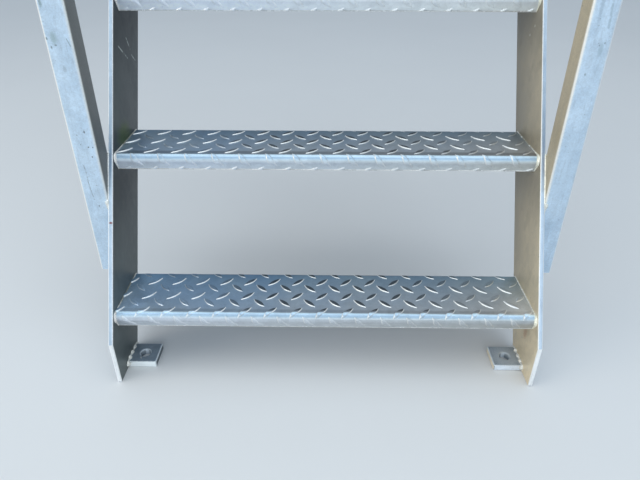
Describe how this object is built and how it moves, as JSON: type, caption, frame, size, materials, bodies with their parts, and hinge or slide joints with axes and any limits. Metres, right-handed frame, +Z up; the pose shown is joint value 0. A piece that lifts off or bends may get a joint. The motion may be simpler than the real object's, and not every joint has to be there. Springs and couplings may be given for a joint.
{
  "type": "steep steel access stair flight with handrails",
  "caption": "Steep galvanised steel stair flight with folded raised-pattern treads, square posts, tube handrails, floor lugs and head fixing plates.",
  "frame": {"origin": "on the floor, midway between the two floor bolt holes", "axes": "+Z up, +Y level up the flight, +X to the climber's right; treads level"},
  "size_m": [0.84, 0.8347, 2.4066],
  "materials": {
    "zinc_flat_bar": "hot-dip galvanised steel, satin, brushed along the bar",
    "zinc_tread_plate": "hot-dip galvanised raised-pattern steel plate, satin, tears worn bright",
    "zinc_fixing_plate": "hot-dip galvanised steel, dull, edges bright",
    "zinc_post_tube": "hot-dip galvanised steel tube, mottled, light scratches",
    "zinc_rail_tube": "hot-dip galvanised steel tube, satin"
  },
  "bodies": {
    "root": {"stringer_left": "zinc_flat_bar", "stringer_right": "zinc_flat_bar", "tread_1": "zinc_tread_plate", "tread_2": "zinc_tread_plate", "tread_3": "zinc_tread_plate", "tread_4": "zinc_tread_plate", "tread_5": "zinc_tread_plate", "tread_6": "zinc_tread_plate", "lug_left": "zinc_fixing_plate", "lug_right": "zinc_fixing_plate", "head_plate_left": "zinc_fixing_plate", "head_plate_right": "zinc_fixing_plate", "lower_post_left": "zinc_post_tube", "lower_post_right": "zinc_post_tube", "upper_post_left": "zinc_post_tube", "upper_post_right": "zinc_post_tube", "handrail_left": "zinc_rail_tube", "handrail_right": "zinc_rail_tube", "knee_rail_left": "zinc_rail_tube", "knee_rail_right": "zinc_rail_tube", "handrail_foot_left": "zinc_rail_tube", "handrail_foot_right": "zinc_rail_tube", "handrail_head_left": "zinc_rail_tube", "handrail_head_right": "zinc_rail_tube"}
  },
  "joints": []
}
